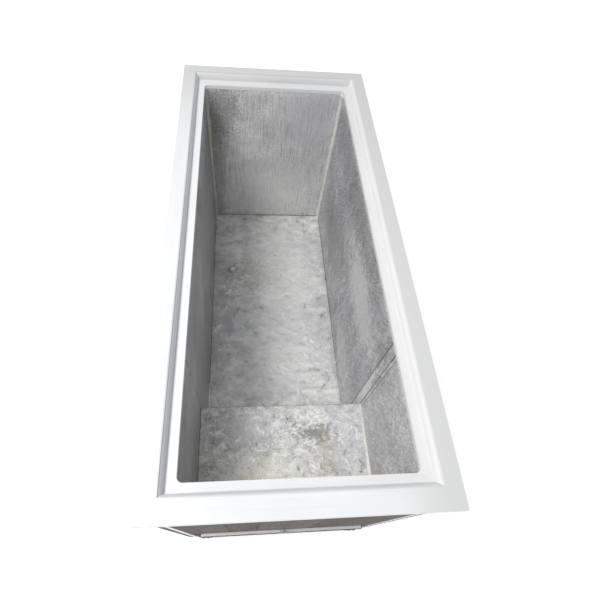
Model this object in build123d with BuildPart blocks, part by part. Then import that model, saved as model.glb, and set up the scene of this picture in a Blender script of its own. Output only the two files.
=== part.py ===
from build123d import *
import os

os.makedirs("parts", exist_ok=True)

# Chest icebox without its lids: a soldered zinc trough in a boarded, cork-lined casing.
# Millimetres, +Z up. The origin is on the ground under the middle of the deck. The near end, which has
# the step and the two small doors, faces -Y.

# ---------------------------------------------------------------- driving dimensions
width = 610  # deck, across X
length = 1404  # deck, along Y
height = 770  # ground to deck top
deck_thick = 21
border_side = 37  # flat border of the deck at its long sides
border_near = 43
border_far = 34
cove_run = 12  # cove moulding, from the border in to the ledge
ledge_side = 19.5  # bare ledge between the cove and the opening
ledge_near = 17.5
ledge_far = 30
ledge_thick = 11.5
opening_radius = 12
arris = 1.5  # rounding of the deck's outer edges
cove_land = 3  # flat at the cove's top, before it drops into the hollow
cove_drop = 2
cove_foot = 3
cove_toe = 1.5
cove_radius = 19

sheet = 1  # zinc sheet
lip_setback_side = 1.5  # from the ledge's edge back to the liner
lip_setback_near = 2
depth_floor = 616  # below the deck top
depth_step = 375.5
step_edge = 331  # from the deck's near edge
lap = 33  # the main side sheets stand proud over the near ones for this length
flange = 30  # liner flange, turned out over the top rails
solder_upright = 6  # legs of the beads in the upright corners
solder_flat = 3  # legs of the beads along the floor and the step

overhang_side = 5  # deck beyond the casing
overhang_end = 10
side_board = 25
end_board = 20
board_pitch = 77
board_gap = 0.2
board_vee = 2
tongue = 6
tongue_play = 0.1  # each side of a tongue in its groove
groove_room = 0.4  # groove deeper than its tongue
ground_gap = 10  # casing boards stop this far above the ground
strip_half = 4  # cover strips over the end's upright joints
strip_proud = 1.2
strip_round = 1
runner_width = 40
runner_height = 40
floor_board = 20
floor_board_count = 7
rail_height = 45
cork_step_thick = 36
cork_gap = 0.5
lining = 12
chase_half = 12  # channel in the cork for the drain pipe
chase_room = 3

door_half_opening = 232
door_sill = 60
door_head = 187
door_lip = 8
door_side_lap = 2  # more lip at the hinge side
door_proud = 6
door_block_depth = 18
door_gap = 1.5
play = 0.3  # between pieces that move past each other
door_board_vee = 1.2
door_boards = 3
block_back_off = 1  # the block behind a door is this much smaller than the opening
block_meeting_off = 3
cap_sheet = 1
cap_turn_down = 9
pull_length = 44
pull_height = 14
pull_depth = 4
pull_from_meeting = 24
pull_z = 120

hinge_height = 36
knuckle_radius = 3
knuckle_gap = 0.5
hinge_pin_radius = 1.2
hinge_pin_play = 0.05
pin_head_radius = 2.2
pin_head_height = 1.5
leaf_thick = 1.5
leaf_width = 25
leaf_edge_gap = 0.2
plate_width = 22
screw_spread = 10  # screws above and below the hinge's middle
screw_inset = 13
hinge_heights = (80, 163)
screw_head_radius = 2.6
screw_head_height = 1.2

button_above_door = 13
button_length = 40
button_height = 14
button_thick = 1.6
button_offset = 12  # the button's middle is this far from its screw
button_boss_radius = 6
button_screw_radius = 2
button_screw_play = 0.05
button_head_radius = 4
button_head_height = 1
button_head_gap = 0.1

strainer_flange_radius = 32
strainer_flange = 1.5
strainer_radius = 22
strainer_height = 9
strainer_wall = 2
strainer_round = 3
strainer_hole = 2.2
strainer_hole_ring = 9
strainer_slot = 1.6
strainer_slot_z = 4

pipe_radius = 9
pipe_wall = 1.5
pipe_bend = 18
pipe_in_compartment = 20
pipe_below_floor = 19
drain_behind_step = 41
cock_axis_y = -462
spout_y = -480
spout_bottom = 112
stem_radius = 7
stem_play = 0.05
stem_top = 20  # above the pipe's axis
stem_foot = 9.7
stem_way = 4.5
cock_socket = 12  # length of pipe held in the cock
cock_socket_wall = 3
cock_shoulder = 4
cock_radius = 10
cock_barrel_radius = 12
cock_barrel_top = 15
cock_barrel_bottom = 13
cock_barrel_floor = 10
cock_bore = 6
spout_radius = 8
spout_bore = 5.5
lever_length = 62
lever_width = 15
lever_thick = 4
lever_reach = 20  # the lever's middle from the stem
lever_round = 1

pan_width = 380
pan_front = -645
pan_back = -445
pan_height = 44
pan_corner = 12
pan_rim_thick = 2
pan_rim_wide = 3

# ---------------------------------------------------------------- derived places
half_w = width / 2
half_l = length / 2
deck_bottom = height - deck_thick
ledge_bottom = deck_bottom - ledge_thick
rail_top = ledge_bottom - sheet
rail_bottom = rail_top - rail_height

border_x = half_w - border_side
border_y_near = -half_l + border_near
border_y_far = half_l - border_far
cove_x = border_x - cove_run
cove_y_near = border_y_near + cove_run
cove_y_far = border_y_far - cove_run
open_x = cove_x - ledge_side
open_y_near = cove_y_near + ledge_near
open_y_far = cove_y_far - ledge_far

liner_x = open_x + lip_setback_side
liner_y_near = open_y_near - lip_setback_near
liner_y_far = open_y_far + lip_setback_side
floor_z = height - depth_floor
step_z = height - depth_step
step_y = -half_l + step_edge

case_x = half_w - overhang_side
case_y = half_l - overhang_end
inner_x = case_x - side_board
inner_y = case_y - end_board
post_x = liner_x + sheet
post_y_near = liner_y_near - sheet
post_y_far = liner_y_far + sheet
base_z = runner_height + floor_board

step_under = step_z - sheet
ceiling_top = step_under - cork_step_thick
ceiling_bottom = ceiling_top - lining
riser_back = step_y - sheet
back_board_far = riser_back - cork_step_thick
back_board_near = back_board_far - lining

drain_y = step_y + drain_behind_step
pipe_z = floor_z - pipe_below_floor
pipe_end_y = back_board_near - pipe_in_compartment

door_x = door_half_opening + door_lip + door_side_lap
door_bottom = door_sill - door_lip
door_top = door_head + door_lip
door_face = -case_y - door_proud
door_seat_y = -case_y - play
hinge_x = door_x + knuckle_radius + knuckle_gap
button_z = door_top + button_above_door


# ---------------------------------------------------------------- helpers
def slab(x, y, z, mode=Mode.ADD):
    """A box between the limits x, y and z, each a (low, high) pair."""
    with Locations(((x[0] + x[1]) / 2, (y[0] + y[1]) / 2, (z[0] + z[1]) / 2)):
        Box(x[1] - x[0], y[1] - y[0], z[1] - z[0], mode=mode)


def upright(x, y, radius, z, mode=Mode.ADD):
    """A vertical cylinder between the two heights in z."""
    with Locations((x, y, (z[0] + z[1]) / 2)):
        Cylinder(radius, z[1] - z[0], mode=mode)


def along_y(x, z, radius, y, mode=Mode.ADD):
    """A cylinder parallel to Y between the two places in y."""
    with Locations((x, (y[0] + y[1]) / 2, z)):
        Cylinder(radius, y[1] - y[0], rotation=(90, 0, 0), mode=mode)


def cove_bar(corner, inward, run):
    """One mitred length of cove moulding. It starts at corner, with inward pointing to the opening."""
    up = Vector(0, 0, 1)
    along = inward.cross(up)
    with BuildSketch(Plane(origin=corner, x_dir=inward, z_dir=along)) as section:
        with BuildLine():
            land_end = (cove_land, deck_thick - cove_drop)
            lip = Polyline((0, 0), (0, deck_thick), (cove_land, deck_thick), land_end)
            foot = Polyline((0, 0), (cove_run, 0), (cove_run, cove_foot), (cove_run - cove_toe, cove_foot))
            RadiusArc(lip @ 1, foot @ 1, cove_radius)
        make_face()
    extrude(section.sketch, amount=run)
    split(bisect_by=Plane(origin=corner, z_dir=along - inward), keep=Keep.TOP)
    split(bisect_by=Plane(origin=corner + along * run, z_dir=-along - inward), keep=Keep.TOP)


def ledge_ring():
    """The whole ledge, before it is cut into four bars at its mitres."""
    middle = (open_y_near + open_y_far) / 2
    with BuildSketch(Plane.XY.offset(ledge_bottom)) as ring:
        Rectangle(2 * inner_x, 2 * inner_y)
        with Locations((0, middle)):
            RectangleRounded(2 * open_x, open_y_far - open_y_near, opening_radius, mode=Mode.SUBTRACT)
    extrude(ring.sketch, amount=ledge_thick)


def ledge_mitre(side, far, keep_ends):
    """Cut the ledge along the mitre from the cove's corner to the opening's corner."""
    cove_y = cove_y_far if far else cove_y_near
    open_y = open_y_far if far else open_y_near
    start = Vector(side * cove_x, cove_y, 0)
    line = Vector(side * open_x, open_y, 0) - start
    normal = line.cross(Vector(0, 0, 1))
    towards_side = normal if normal.X * side > 0 else -normal
    split(bisect_by=Plane(origin=start, z_dir=-towards_side if keep_ends else towards_side), keep=Keep.TOP)


def boarding(origin, x_dir, span, count, thick, z):
    """Upright tongued and grooved boards, as separate solids, with a vee at each joint."""
    pitch = span / count
    middle = thick / 2
    half = tongue / 2
    groove = half + tongue_play
    groove_deep = tongue + groove_room
    with BuildSketch(Plane(origin=(origin[0], origin[1], z[0]), x_dir=x_dir, z_dir=(0, 0, 1))) as outlines:
        for number in range(count):
            low = number * pitch + board_gap
            high = (number + 1) * pitch - board_gap
            outline = [(low + board_vee, 0), (high - board_vee, 0), (high, board_vee)]
            if number < count - 1:
                outline += [(high, middle - half), (high + tongue, middle - half)]
                outline += [(high + tongue, middle + half), (high, middle + half)]
            outline += [(high, thick), (low, thick)]
            if number > 0:
                outline += [(low, middle + groove), (low + groove_deep, middle + groove)]
                outline += [(low + groove_deep, middle - groove), (low, middle - groove)]
            outline += [(low, board_vee)]
            Polygon(*outline, align=None)
    extrude(outlines.sketch, amount=z[1] - z[0])


def solder_bead(start, run, first_leg, second_leg, size):
    """A triangular bead of solder in an inside corner, its two legs against the two sheets."""
    direction = run.normalized()
    plane = Plane(origin=start, x_dir=first_leg, z_dir=direction)
    second = plane.to_local_coords(Vector(start) + second_leg)
    with BuildSketch(plane) as section:
        Polygon((0, 0), (size, 0), (0, size if second.Y > 0 else -size), align=None)
    extrude(section.sketch, amount=run.length)


# ---------------------------------------------------------------- deck
with BuildPart() as deck_board_left:
    slab((-half_w, -border_x), (-half_l, half_l), (deck_bottom, height))
    outer = deck_board_left.edges().filter_by(Axis.Y).group_by(Axis.X)[0]
    ends = deck_board_left.edges().filter_by(Axis.X).group_by(Axis.Z)[-1]
    fillet(outer + ends, arris)

with BuildPart() as deck_board_right:
    mirror(deck_board_left.part, about=Plane.YZ)

with BuildPart() as deck_board_near:
    slab((-border_x, border_x), (-half_l, border_y_near), (deck_bottom, height))
    fillet(deck_board_near.edges().filter_by(Axis.X).group_by(Axis.Y)[0], arris)

with BuildPart() as deck_board_far:
    slab((-border_x, border_x), (border_y_far, half_l), (deck_bottom, height))
    fillet(deck_board_far.edges().filter_by(Axis.X).group_by(Axis.Y)[-1], arris)

cove_length = border_y_far - border_y_near
with BuildPart() as cove_near:
    cove_bar(Vector(-border_x, border_y_near, deck_bottom), Vector(0, 1, 0), 2 * border_x)
with BuildPart() as cove_right:
    cove_bar(Vector(border_x, border_y_near, deck_bottom), Vector(-1, 0, 0), cove_length)
with BuildPart() as cove_far:
    cove_bar(Vector(border_x, border_y_far, deck_bottom), Vector(0, -1, 0), 2 * border_x)
with BuildPart() as cove_left:
    cove_bar(Vector(-border_x, border_y_far, deck_bottom), Vector(1, 0, 0), cove_length)

with BuildPart() as ledge_left:
    ledge_ring()
    split(bisect_by=Plane.YZ, keep=Keep.BOTTOM)
    ledge_mitre(-1, False, False)
    ledge_mitre(-1, True, False)
with BuildPart() as ledge_right:
    mirror(ledge_left.part, about=Plane.YZ)
with BuildPart() as ledge_near:
    ledge_ring()
    split(bisect_by=Plane.XZ, keep=Keep.TOP)
    ledge_mitre(-1, False, True)
    ledge_mitre(1, False, True)
with BuildPart() as ledge_far:
    ledge_ring()
    split(bisect_by=Plane.XZ, keep=Keep.BOTTOM)
    ledge_mitre(-1, True, True)
    ledge_mitre(1, True, True)

# ---------------------------------------------------------------- frame inside the casing
with BuildPart() as top_rails_side:
    for side in (-1, 1):
        xs = sorted((side * post_x, side * inner_x))
        slab(xs, (-inner_y, inner_y), (rail_bottom, rail_top))

with BuildPart() as top_rails_end:
    slab((-post_x, post_x), (-inner_y, post_y_near), (rail_bottom, rail_top))
    slab((-post_x, post_x), (post_y_far, inner_y), (rail_bottom, rail_top))

with BuildPart() as corner_posts:
    for side in (-1, 1):
        xs = sorted((side * post_x, side * inner_x))
        slab(xs, (-inner_y, post_y_near), (base_z, rail_bottom))
        slab(xs, (post_y_far, inner_y), (base_z, rail_bottom))

with BuildPart() as base_runners:
    for side in (-1, 1):
        xs = sorted((side * (inner_x - runner_width), side * inner_x))
        slab(xs, (-inner_y, inner_y), (0, runner_height))

with BuildPart() as bottom_boards:
    board_width = 2 * inner_x / floor_board_count
    for number in range(floor_board_count):
        low = -inner_x + number * board_width + board_gap
        slab((low, low + board_width - 2 * board_gap), (-inner_y, inner_y), (runner_height, base_z))

# ---------------------------------------------------------------- casing
side_count = round(2 * case_y / board_pitch)
end_count = round(2 * inner_x / board_pitch)
door_board_count = round(2 * door_half_opening / board_pitch)

with BuildPart() as side_boards_left:
    boarding((-case_x, case_y), (0, -1, 0), 2 * case_y, side_count, side_board, (ground_gap, deck_bottom))
with BuildPart() as side_boards_right:
    boarding((case_x, -case_y), (0, 1, 0), 2 * case_y, side_count, side_board, (ground_gap, deck_bottom))
with BuildPart() as far_end_boards:
    boarding((inner_x, case_y), (-1, 0, 0), 2 * inner_x, end_count, end_board, (ground_gap, deck_bottom))
with BuildPart() as near_end_boards:
    boarding(
        (-door_half_opening, -case_y),
        (1, 0, 0),
        2 * door_half_opening,
        door_board_count,
        end_board,
        (door_head, deck_bottom),
    )

with BuildPart() as near_end_stiles:
    for side in (-1, 1):
        xs = sorted((side * door_half_opening, side * inner_x))
        slab(xs, (-case_y, -inner_y), (ground_gap, deck_bottom))

with BuildPart() as near_bottom_rail:
    slab((-door_half_opening, door_half_opening), (-case_y, -inner_y), (ground_gap, door_sill))

with BuildPart() as corner_strips:
    for side in (-1, 1):
        xs = sorted((side * (inner_x - strip_half), side * (inner_x + strip_half)))
        slab(xs, (-case_y - strip_proud, -case_y), (ground_gap, deck_bottom))
    fillet(corner_strips.edges().filter_by(Axis.Z).group_by(Axis.Y)[0], strip_round)

# ---------------------------------------------------------------- zinc liner
with BuildPart() as liner_left:
    slab((-post_x, -liner_x), (step_y + lap, liner_y_far), (floor_z, ledge_bottom))
    slab((-post_x - flange, -post_x), (step_y + lap, liner_y_far), (rail_top, ledge_bottom))
    slab((-liner_x, -liner_x + sheet), (step_y, step_y + lap + sheet), (floor_z, rail_top))
with BuildPart() as liner_right:
    mirror(liner_left.part, about=Plane.YZ)

with BuildPart() as liner_near_left:
    slab((-post_x, -liner_x), (liner_y_near, step_y + lap), (step_z, ledge_bottom))
    slab((-post_x - flange, -post_x), (liner_y_near, step_y + lap), (rail_top, ledge_bottom))
    slab((-post_x, -liner_x), (step_y, step_y + lap), (floor_z, step_z))
with BuildPart() as liner_near_right:
    mirror(liner_near_left.part, about=Plane.YZ)

with BuildPart() as liner_near:
    slab((-liner_x, liner_x), (post_y_near, liner_y_near), (step_z, ledge_bottom))
    slab((-liner_x, liner_x), (post_y_near - flange, post_y_near), (rail_top, ledge_bottom))

with BuildPart() as liner_far:
    slab((-liner_x, liner_x), (liner_y_far, post_y_far), (floor_z, ledge_bottom))
    slab((-liner_x, liner_x), (post_y_far, post_y_far + flange), (rail_top, ledge_bottom))

with BuildPart() as liner_step:
    slab((-post_x, post_x), (post_y_near, step_y), (step_under, step_z))

with BuildPart() as liner_riser:
    slab((-liner_x, liner_x), (riser_back, step_y), (floor_z, step_under))

with BuildPart() as liner_floor:
    slab((-post_x, post_x), (riser_back, post_y_far), (floor_z - sheet, floor_z))
    upright(0, drain_y, pipe_radius, (floor_z - sheet, floor_z), mode=Mode.SUBTRACT)

with BuildPart() as solder_seams:
    up = Vector(0, 0, 1)
    ahead = Vector(0, 1, 0)
    across = Vector(2 * (liner_x - solder_upright), 0, 0)
    for side in (-1, 1):
        inwards = Vector(-side, 0, 0)
        x = side * liner_x
        first_y = step_y + lap + sheet
        far_run = ahead * (liner_y_far - first_y - solder_upright)
        near_run = ahead * (step_y - liner_y_near - solder_upright)
        deep = up * (ledge_bottom - floor_z)
        shallow = up * (ledge_bottom - step_z)
        solder_bead((x, liner_y_far, floor_z), deep, inwards, -ahead, solder_upright)
        solder_bead((x, liner_y_near, step_z), shallow, inwards, ahead, solder_upright)
        solder_bead((x, first_y, floor_z), far_run, inwards, up, solder_flat)
        solder_bead((x, liner_y_near + solder_upright, step_z), near_run, inwards, up, solder_flat)
    left_end = -liner_x + solder_upright
    solder_bead((left_end, liner_y_far, floor_z), across, -ahead, up, solder_flat)
    solder_bead((left_end, liner_y_near, step_z), across, ahead, up, solder_flat)
    solder_bead((left_end, step_y, floor_z), across, ahead, up, solder_flat)

# ---------------------------------------------------------------- cork
with BuildPart() as cork_walls:
    for side in (-1, 1):
        xs = sorted((side * post_x, side * inner_x))
        slab(xs, (post_y_near, post_y_far), (base_z, rail_bottom))
        xs = sorted((side * post_x, side * (liner_x + lining)))
        slab(xs, (post_y_near, back_board_far), (base_z, ceiling_top), mode=Mode.SUBTRACT)
    slab((-post_x, post_x), (-inner_y, post_y_near), (ceiling_top, rail_bottom))
    slab((-post_x, post_x), (post_y_far, inner_y), (base_z, rail_bottom))

with BuildPart() as cork_floor:
    slab((-post_x, post_x), (back_board_far, post_y_far), (base_z, floor_z - sheet))
    chase = (back_board_far, drain_y + pipe_radius + chase_room)
    slab((-chase_half, chase_half), chase, (pipe_z - chase_half, floor_z - sheet), mode=Mode.SUBTRACT)

with BuildPart() as cork_step:
    slab((-post_x, post_x), (post_y_near, riser_back), (ceiling_top, step_under))
    slab((-post_x, post_x), (back_board_far, riser_back), (floor_z - sheet, ceiling_top - cork_gap))

# ---------------------------------------------------------------- dry compartment under the step
with BuildPart() as compartment_ceiling:
    slab((-liner_x, liner_x), (-inner_y, back_board_far), (ceiling_bottom, ceiling_top))

with BuildPart() as compartment_back:
    slab((-liner_x, liner_x), (back_board_near, back_board_far), (base_z, ceiling_bottom))
    along_y(0, pipe_z, pipe_radius + play, (back_board_near, back_board_far), mode=Mode.SUBTRACT)

with BuildPart() as compartment_linings:
    for side in (-1, 1):
        xs = sorted((side * liner_x, side * (liner_x + lining)))
        slab(xs, (post_y_near, back_board_far), (base_z, ceiling_top))

# ---------------------------------------------------------------- drain
with BuildPart() as drain_strainer:
    dome_top = floor_z + strainer_height
    upright(0, drain_y, strainer_flange_radius, (floor_z, floor_z + strainer_flange))
    upright(0, drain_y, strainer_radius, (floor_z + strainer_flange, dome_top))
    fillet(drain_strainer.edges().filter_by(GeomType.CIRCLE).group_by(Axis.Z)[-1], strainer_round)
    hollow = (floor_z, dome_top - strainer_wall)
    upright(0, drain_y, strainer_radius - strainer_wall, hollow, mode=Mode.SUBTRACT)
    with Locations((0, drain_y, dome_top - strainer_wall / 2)):
        Cylinder(strainer_hole, 2 * strainer_wall, mode=Mode.SUBTRACT)
        with PolarLocations(strainer_hole_ring, 6):
            Cylinder(strainer_hole, 2 * strainer_wall, mode=Mode.SUBTRACT)
    with Locations((0, drain_y, floor_z + strainer_slot_z)):
        with PolarLocations(strainer_radius - strainer_wall / 2, 10):
            Cylinder(strainer_slot, 4 * strainer_wall, rotation=(0, 90, 0), mode=Mode.SUBTRACT)

with BuildPart() as drain_pipe:
    with BuildLine() as pipe_path:
        drop = ((0, drain_y, floor_z), (0, drain_y, pipe_z), (0, pipe_end_y, pipe_z))
        FilletPolyline(*drop, radius=pipe_bend)
    with BuildSketch(Plane.XY.offset(floor_z)):
        with Locations((0, drain_y)):
            Circle(pipe_radius)
            Circle(pipe_radius - pipe_wall, mode=Mode.SUBTRACT)
    sweep(path=pipe_path.wires()[0])

with BuildPart() as drain_cock_body:
    socket_y = (pipe_end_y, pipe_end_y + cock_socket)
    barrel_z = (pipe_z - cock_barrel_bottom, pipe_z + cock_barrel_top)
    along_y(0, pipe_z, pipe_radius + cock_socket_wall, (pipe_end_y - cock_shoulder, socket_y[1]))
    along_y(0, pipe_z, cock_radius, (spout_y, pipe_end_y))
    with Locations((0, spout_y, pipe_z)):
        Sphere(cock_radius)
    upright(0, cock_axis_y, cock_barrel_radius, barrel_z)
    upright(0, spout_y, spout_radius, (spout_bottom, pipe_z))
    along_y(0, pipe_z, pipe_radius, socket_y, mode=Mode.SUBTRACT)
    along_y(0, pipe_z, cock_bore, (spout_y, pipe_end_y), mode=Mode.SUBTRACT)
    upright(0, spout_y, spout_bore, (spout_bottom, pipe_z), mode=Mode.SUBTRACT)
    stem_hole = (pipe_z - cock_barrel_floor, barrel_z[1])
    upright(0, cock_axis_y, stem_radius + stem_play, stem_hole, mode=Mode.SUBTRACT)

with BuildPart() as drain_cock_lever:
    upright(0, cock_axis_y, stem_radius, (pipe_z - stem_foot, pipe_z + stem_top))
    with Locations((0, cock_axis_y, pipe_z)):
        Cylinder(stem_way, 3 * stem_radius, rotation=(0, 90, 0), mode=Mode.SUBTRACT)
    with BuildSketch(Plane.XY.offset(pipe_z + stem_top - lever_thick)):
        with Locations((lever_reach, cock_axis_y)):
            SlotOverall(lever_length, lever_width)
    extrude(amount=lever_thick)
    fillet(drain_cock_lever.edges().group_by(Axis.Z)[-1], lever_round)

with BuildPart() as drip_pan:
    pan_place = (0, (pan_front + pan_back) / 2)
    depth = pan_back - pan_front
    pan_z = base_z + play
    with BuildSketch(Plane.XY.offset(pan_z)):
        with Locations(pan_place):
            RectangleRounded(pan_width, depth, pan_corner)
    extrude(amount=pan_height)
    with BuildSketch(Plane.XY.offset(pan_z + sheet)):
        with Locations(pan_place):
            RectangleRounded(pan_width - 2 * sheet, depth - 2 * sheet, pan_corner - sheet)
    extrude(amount=pan_height, mode=Mode.SUBTRACT)
    with BuildSketch(Plane.XY.offset(pan_z + pan_height - pan_rim_thick)):
        with Locations(pan_place):
            rim_corner = pan_corner + pan_rim_wide
            RectangleRounded(pan_width + 2 * pan_rim_wide, depth + 2 * pan_rim_wide, rim_corner)
            inner_corner = pan_corner - sheet
            RectangleRounded(pan_width - 2 * sheet, depth - 2 * sheet, inner_corner, mode=Mode.SUBTRACT)
    extrude(amount=pan_rim_thick)

# ---------------------------------------------------------------- doors
meeting_x = -door_gap / 2
with BuildPart() as door_left_front:
    slab((-door_x, meeting_x), (door_face, door_seat_y), (door_bottom, door_top))
    for number in range(1, door_boards):
        vee_x = -door_x + number * (door_x + meeting_x) / door_boards
        with BuildSketch(Plane.XY.offset(door_bottom)):
            with Locations((vee_x, door_face)):
                Rectangle(2 * door_board_vee, 2 * door_board_vee, rotation=45)
        extrude(amount=door_top - door_bottom, mode=Mode.SUBTRACT)
    pull_place = (-pull_from_meeting, door_face, pull_z)
    with BuildSketch(Plane(origin=pull_place, x_dir=(0, 0, 1), z_dir=(0, -1, 0))):
        SlotOverall(pull_length, pull_height)
    extrude(amount=-pull_depth, mode=Mode.SUBTRACT)

with BuildPart() as door_left_block:
    block_x = (-door_half_opening + block_back_off, meeting_x - block_meeting_off)
    block_z = (door_sill + block_back_off, door_head - block_back_off)
    slab(block_x, (door_seat_y, -case_y + door_block_depth), block_z)

with BuildPart() as door_left_cap:
    cap_top = (door_top, door_top + cap_sheet)
    slab((-door_x, meeting_x), (door_face - cap_sheet, door_seat_y), cap_top)
    slab((-door_x, meeting_x), (door_face - cap_sheet, door_face), (door_top - cap_turn_down, door_top))

with BuildPart() as door_left_leaves:
    for middle_z in hinge_heights:
        low = middle_z - hinge_height / 2
        third = hinge_height / 3
        knuckle = (low + third + play / 2, low + 2 * third - play / 2)
        front = (door_face - leaf_thick, door_face)
        slab((-door_x - leaf_edge_gap, -door_x + leaf_width), front, (low, low + hinge_height))
        slab((-hinge_x, -door_x), front, knuckle)
        upright(-hinge_x, door_face, knuckle_radius, knuckle)
        upright(-hinge_x, door_face, hinge_pin_radius + hinge_pin_play, knuckle, mode=Mode.SUBTRACT)

with BuildPart() as door_left_screws:
    for middle_z in hinge_heights:
        for offset_z in (-screw_spread, screw_spread):
            head = (door_face - leaf_thick - screw_head_height, door_face - leaf_thick)
            along_y(-door_x + screw_inset, middle_z + offset_z, screw_head_radius, head)

with BuildPart() as hinge_plates:
    for middle_z in hinge_heights:
        low = middle_z - hinge_height / 2
        third = hinge_height / 3
        plate_x = (-hinge_x - plate_width, -hinge_x - knuckle_radius + leaf_thick)
        slab(plate_x, (-case_y - leaf_thick, -case_y), (low, low + hinge_height))
        for start in (low, low + 2 * third):
            first = start + (play / 2 if start > low else 0)
            last = start + third - (0 if start > low else play / 2)
            web_x = (-hinge_x - knuckle_radius, -hinge_x - knuckle_radius + leaf_thick)
            slab(web_x, (door_face, -case_y), (first, last))
            upright(-hinge_x, door_face, knuckle_radius, (first, last))
            upright(-hinge_x, door_face, hinge_pin_radius, (first, last), mode=Mode.SUBTRACT)
    mirror(hinge_plates.part, about=Plane.YZ)

with BuildPart() as hinge_pins:
    for middle_z in hinge_heights:
        for side in (-1, 1):
            top = middle_z + hinge_height / 2
            upright(side * hinge_x, door_face, hinge_pin_radius, (top - hinge_height, top))
            upright(side * hinge_x, door_face, pin_head_radius, (top, top + pin_head_height))

with BuildPart() as hinge_screws:
    for middle_z in hinge_heights:
        for side in (-1, 1):
            for offset_z in (-screw_spread, screw_spread):
                head = (-case_y - leaf_thick - screw_head_height, -case_y - leaf_thick)
                along_y(side * (hinge_x + screw_inset), middle_z + offset_z, screw_head_radius, head)

with BuildPart() as door_right_front:
    mirror(door_left_front.part, about=Plane.YZ)
with BuildPart() as door_right_block:
    mirror(door_left_block.part, about=Plane.YZ)
with BuildPart() as door_right_cap:
    mirror(door_left_cap.part, about=Plane.YZ)
with BuildPart() as door_right_leaves:
    mirror(door_left_leaves.part, about=Plane.YZ)
with BuildPart() as door_right_screws:
    mirror(door_left_screws.part, about=Plane.YZ)

# ---------------------------------------------------------------- turn button that holds both doors
button_back = door_face - cap_sheet - play
button_front = button_back - button_thick
with BuildPart() as turn_button:
    along_y(0, button_z, button_boss_radius, (button_back, -case_y - play))
    button_place = (button_offset, button_back, button_z)
    with BuildSketch(Plane(origin=button_place, x_dir=(1, 0, 0), z_dir=(0, -1, 0))):
        SlotOverall(button_length, button_height)
    extrude(amount=button_thick)
    hole = button_screw_radius + button_screw_play
    along_y(0, button_z, hole, (button_front, -case_y), mode=Mode.SUBTRACT)

with BuildPart() as turn_button_screw:
    head_back = button_front - button_head_gap
    along_y(0, button_z, button_screw_radius, (head_back, -case_y))
    along_y(0, button_z, button_head_radius, (head_back - button_head_height, head_back))

# ---------------------------------------------------------------- output
nodes = {
    "deck_board_left": deck_board_left,
    "deck_board_right": deck_board_right,
    "deck_board_near": deck_board_near,
    "deck_board_far": deck_board_far,
    "cove_left": cove_left,
    "cove_right": cove_right,
    "cove_near": cove_near,
    "cove_far": cove_far,
    "ledge_left": ledge_left,
    "ledge_right": ledge_right,
    "ledge_near": ledge_near,
    "ledge_far": ledge_far,
    "top_rails_side": top_rails_side,
    "top_rails_end": top_rails_end,
    "corner_posts": corner_posts,
    "base_runners": base_runners,
    "bottom_boards": bottom_boards,
    "side_boards_left": side_boards_left,
    "side_boards_right": side_boards_right,
    "far_end_boards": far_end_boards,
    "near_end_boards": near_end_boards,
    "near_end_stiles": near_end_stiles,
    "near_bottom_rail": near_bottom_rail,
    "corner_strips": corner_strips,
    "liner_left": liner_left,
    "liner_right": liner_right,
    "liner_near_left": liner_near_left,
    "liner_near_right": liner_near_right,
    "liner_near": liner_near,
    "liner_far": liner_far,
    "liner_step": liner_step,
    "liner_riser": liner_riser,
    "liner_floor": liner_floor,
    "solder_seams": solder_seams,
    "cork_walls": cork_walls,
    "cork_floor": cork_floor,
    "cork_step": cork_step,
    "compartment_ceiling": compartment_ceiling,
    "compartment_back": compartment_back,
    "compartment_linings": compartment_linings,
    "drain_strainer": drain_strainer,
    "drain_pipe": drain_pipe,
    "drain_cock_body": drain_cock_body,
    "drain_cock_lever": drain_cock_lever,
    "drip_pan": drip_pan,
    "door_left_front": door_left_front,
    "door_left_block": door_left_block,
    "door_left_cap": door_left_cap,
    "door_left_leaves": door_left_leaves,
    "door_left_screws": door_left_screws,
    "door_right_front": door_right_front,
    "door_right_block": door_right_block,
    "door_right_cap": door_right_cap,
    "door_right_leaves": door_right_leaves,
    "door_right_screws": door_right_screws,
    "hinge_plates": hinge_plates,
    "hinge_pins": hinge_pins,
    "hinge_screws": hinge_screws,
    "turn_button": turn_button,
    "turn_button_screw": turn_button_screw,
}
for node, piece in nodes.items():
    piece.part.label = node
    export_step(piece.part, f"parts/{node}.step")
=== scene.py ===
import math
import bpy
import numpy as np
from mathutils import Matrix, Vector


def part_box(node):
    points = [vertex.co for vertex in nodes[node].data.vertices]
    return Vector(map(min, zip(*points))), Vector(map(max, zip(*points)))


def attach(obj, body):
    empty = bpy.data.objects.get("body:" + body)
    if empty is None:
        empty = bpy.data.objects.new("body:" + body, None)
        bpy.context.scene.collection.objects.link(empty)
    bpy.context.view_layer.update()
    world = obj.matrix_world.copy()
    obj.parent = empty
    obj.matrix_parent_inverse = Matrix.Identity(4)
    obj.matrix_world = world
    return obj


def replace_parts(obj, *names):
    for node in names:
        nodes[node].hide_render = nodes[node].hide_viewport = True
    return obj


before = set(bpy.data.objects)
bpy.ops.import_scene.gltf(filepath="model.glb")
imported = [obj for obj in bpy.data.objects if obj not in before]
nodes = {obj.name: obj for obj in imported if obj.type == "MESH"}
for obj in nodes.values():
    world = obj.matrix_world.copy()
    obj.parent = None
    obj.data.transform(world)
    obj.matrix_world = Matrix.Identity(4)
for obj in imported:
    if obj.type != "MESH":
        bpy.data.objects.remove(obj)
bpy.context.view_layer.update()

# ---------------------------------------------------------------- places taken from the CAD model
inside_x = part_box("liner_far")[1].x
near_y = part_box("liner_near")[1].y
far_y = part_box("liner_far")[0].y
floor_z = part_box("liner_floor")[1].z
step_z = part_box("liner_step")[1].z
step_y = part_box("liner_step")[1].y
rim_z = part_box("liner_far")[1].z
lap_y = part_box("liner_near_left")[1].y
post_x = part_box("liner_floor")[1].x
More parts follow.
